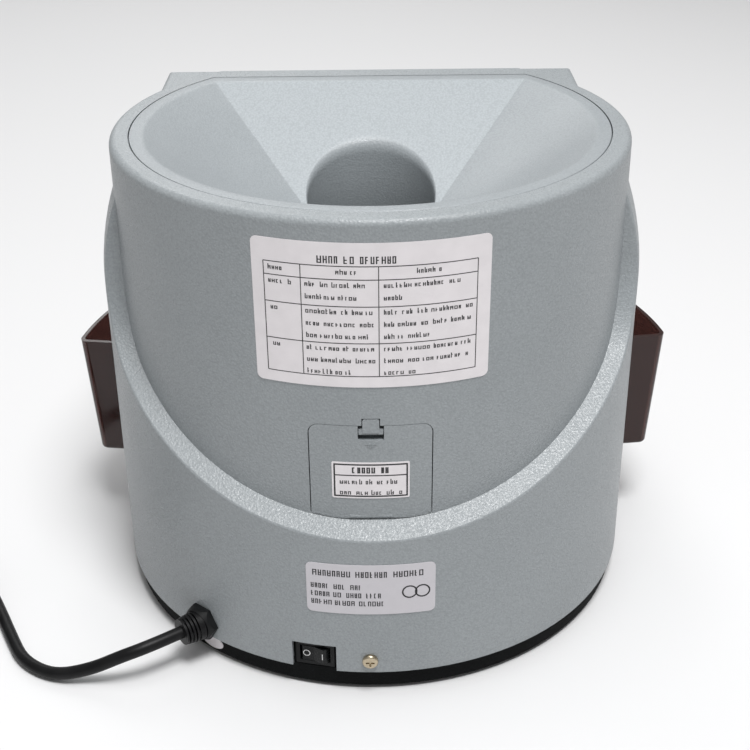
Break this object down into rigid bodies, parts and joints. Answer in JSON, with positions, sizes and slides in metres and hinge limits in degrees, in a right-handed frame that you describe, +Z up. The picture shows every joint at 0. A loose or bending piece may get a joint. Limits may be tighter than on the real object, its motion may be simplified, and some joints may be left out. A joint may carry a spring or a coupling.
{
  "type": "coin sorting machine",
  "caption": "Bench coin sorter: drum-shaped case with a D-shaped hopper, sloping key panel, spinning sorting disc, coin rail and pull-out smoked coin cups.",
  "frame": {"origin": "on the surface it stands on, under the centre of the box of the machine without its free mains lead", "axes": "+Z up, -Y to the front (keys and cups), +Y to the rear (access door, labels, switch, mains lead), +X to the right as seen from the front"},
  "size_m": [0.5036, 0.3478, 0.266],
  "materials": {
    "case_grey": "fine moulded texture",
    "hopper_grey": "satin moulded",
    "base_black": "fine moulded texture",
    "black_nylon": "satin",
    "black_gloss": "gloss",
    "black_pvc": "soft satin",
    "rubber_black": "matt",
    "label_silver": "satin foil, printed",
    "label_white": "satin, printed",
    "cup_smoke": "clear smoked, polished",
    "overlay_dark": "satin printed film",
    "window_clear": "polished",
    "lcd": "satin",
    "board_green": "solder mask",
    "key_light": "satin",
    "steel_plate": "brushed",
    "steel_ground": "ground",
    "aluminium_disc": "turned",
    "aluminium_cast": "cast",
    "white_acetal": "satin",
    "screw_nickel": "plated",
    "transformer_core": "varnished"
  },
  "bodies": {
    "root": {"base_tray": "base_black", "bearing_housing": "aluminium_cast", "board_standoffs": "white_acetal", "cable_gland": "black_nylon", "case": "case_grey", "case_screws": "screw_nickel", "chute_ring": "white_acetal", "coin_sensors": "black_nylon", "control_board": "board_green", "control_overlay": "overlay_dark", "cord_coil": "black_pvc", "cord_tail": "black_pvc", "deck_pillars": "steel_ground", "display_module": "lcd", "display_window": "window_clear", "drive_belt": "rubber_black", "error_label": "label_silver", "frame_screws": "screw_nickel", "guide_ring": "black_nylon", "hopper": "hopper_grey", "inspection_seal": "label_silver", "mains_plug": "black_pvc", "motor": "steel_ground", "motor_bracket": "steel_plate", "power_board": "board_green", "power_cord": "black_pvc", "rating_label": "label_white", "rubber_feet": "rubber_black", "running_sensor": "black_nylon", "sorting_rail": "steel_plate", "spindle_bearings": "steel_ground", "strain_relief": "black_pvc", "switch_body": "black_nylon", "transformer": "transformer_core"},
    "door": {"access_door": "case_grey", "door_label": "label_silver"},
    "turntable": {"carrier_ring": "white_acetal", "disc_nut": "steel_plate", "disc_pad": "rubber_black", "drive_pulley": "white_acetal", "encoder_wheel": "black_nylon", "sorting_disc": "aluminium_disc", "spindle": "steel_ground"},
    "cup_1": {"coin_cup_1": "cup_smoke"},
    "cup_2": {"coin_cup_2": "cup_smoke"},
    "cup_3": {"coin_cup_3": "cup_smoke"},
    "cup_4": {"coin_cup_4": "cup_smoke"},
    "cup_5": {"coin_cup_5": "cup_smoke"},
    "cup_6": {"coin_cup_6": "cup_smoke"},
    "cup_7": {"coin_cup_7": "cup_smoke"},
    "cup_8": {"coin_cup_8": "cup_smoke"},
    "latch": {"door_latch": "case_grey"},
    "key_1": {"key_1": "key_light"},
    "key_2": {"key_2": "key_light"},
    "key_3": {"key_3": "key_light"},
    "key_4": {"key_4": "key_light"},
    "key_5": {"key_5": "key_light"},
    "motor_rotor": {"motor_pulley": "aluminium_disc", "motor_shaft": "steel_ground"},
    "rocker": {"switch_rocker": "black_gloss"}
  },
  "joints": [
    {"name": "cup_1_pull", "type": "slide", "parent": "root", "child": "cup_1", "axis": [0.9579, -0.2869, 0], "range_m": [0, 0.07]},
    {"name": "cup_2_pull", "type": "slide", "parent": "root", "child": "cup_2", "axis": [0.792, -0.6105, 0], "range_m": [0, 0.07]},
    {"name": "cup_3_pull", "type": "slide", "parent": "root", "child": "cup_3", "axis": [0.5214, -0.8533, 0], "range_m": [0, 0.07]},
    {"name": "cup_4_pull", "type": "slide", "parent": "root", "child": "cup_4", "axis": [0.1818, -0.9833, 0], "range_m": [0, 0.07]},
    {"name": "cup_5_pull", "type": "slide", "parent": "root", "child": "cup_5", "axis": [-0.1818, -0.9833, 0], "range_m": [0, 0.07]},
    {"name": "cup_6_pull", "type": "slide", "parent": "root", "child": "cup_6", "axis": [-0.5214, -0.8533, 0], "range_m": [0, 0.07]},
    {"name": "cup_7_pull", "type": "slide", "parent": "root", "child": "cup_7", "axis": [-0.792, -0.6105, 0], "range_m": [0, 0.07]},
    {"name": "cup_8_pull", "type": "slide", "parent": "root", "child": "cup_8", "axis": [-0.9579, -0.2869, 0], "range_m": [0, 0.07]},
    {"name": "door_hinge", "type": "hinge", "parent": "root", "child": "door", "pos_m": [0, 0.15145, 0.1068], "axis": [-1, 0, 0], "range_deg": [0, 75]},
    {"name": "latch_press", "type": "slide", "parent": "door", "child": "latch", "axis": [0, 0, -1], "range_m": [0, 0.0015], "stiffness_N_per_m": 400},
    {"name": "rocker_tilt", "type": "hinge", "parent": "root", "child": "rocker", "pos_m": [0.03124, 0.1529, 0.0216], "axis": [0, 0, 1], "range_deg": [0, 20]},
    {"name": "key_1_press", "type": "slide", "parent": "root", "child": "key_1", "axis": [0, 0.848, -0.53], "range_m": [0, 0.0008], "stiffness_N_per_m": 500},
    {"name": "key_2_press", "type": "slide", "parent": "root", "child": "key_2", "axis": [0, 0.848, -0.53], "range_m": [0, 0.0008], "stiffness_N_per_m": 500},
    {"name": "key_3_press", "type": "slide", "parent": "root", "child": "key_3", "axis": [0, 0.848, -0.53], "range_m": [0, 0.0008], "stiffness_N_per_m": 500},
    {"name": "key_4_press", "type": "slide", "parent": "root", "child": "key_4", "axis": [0, 0.848, -0.53], "range_m": [0, 0.0008], "stiffness_N_per_m": 500},
    {"name": "key_5_press", "type": "slide", "parent": "root", "child": "key_5", "axis": [0, 0.848, -0.53], "range_m": [0, 0.0008], "stiffness_N_per_m": 500},
    {"name": "disc_spin", "type": "hinge", "parent": "root", "child": "turntable", "pos_m": [0, 0.01315, 0.1568], "axis": [0, 0, 1], "continuous": true},
    {"name": "motor_spin", "type": "hinge", "parent": "root", "child": "motor_rotor", "pos_m": [-0.078, 0.05515, 0.1], "axis": [0, 0, 1], "continuous": true}
  ],
  "couplings": [
    {"joint": "motor_spin", "follows": "disc_spin", "ratio": 4}
  ]
}
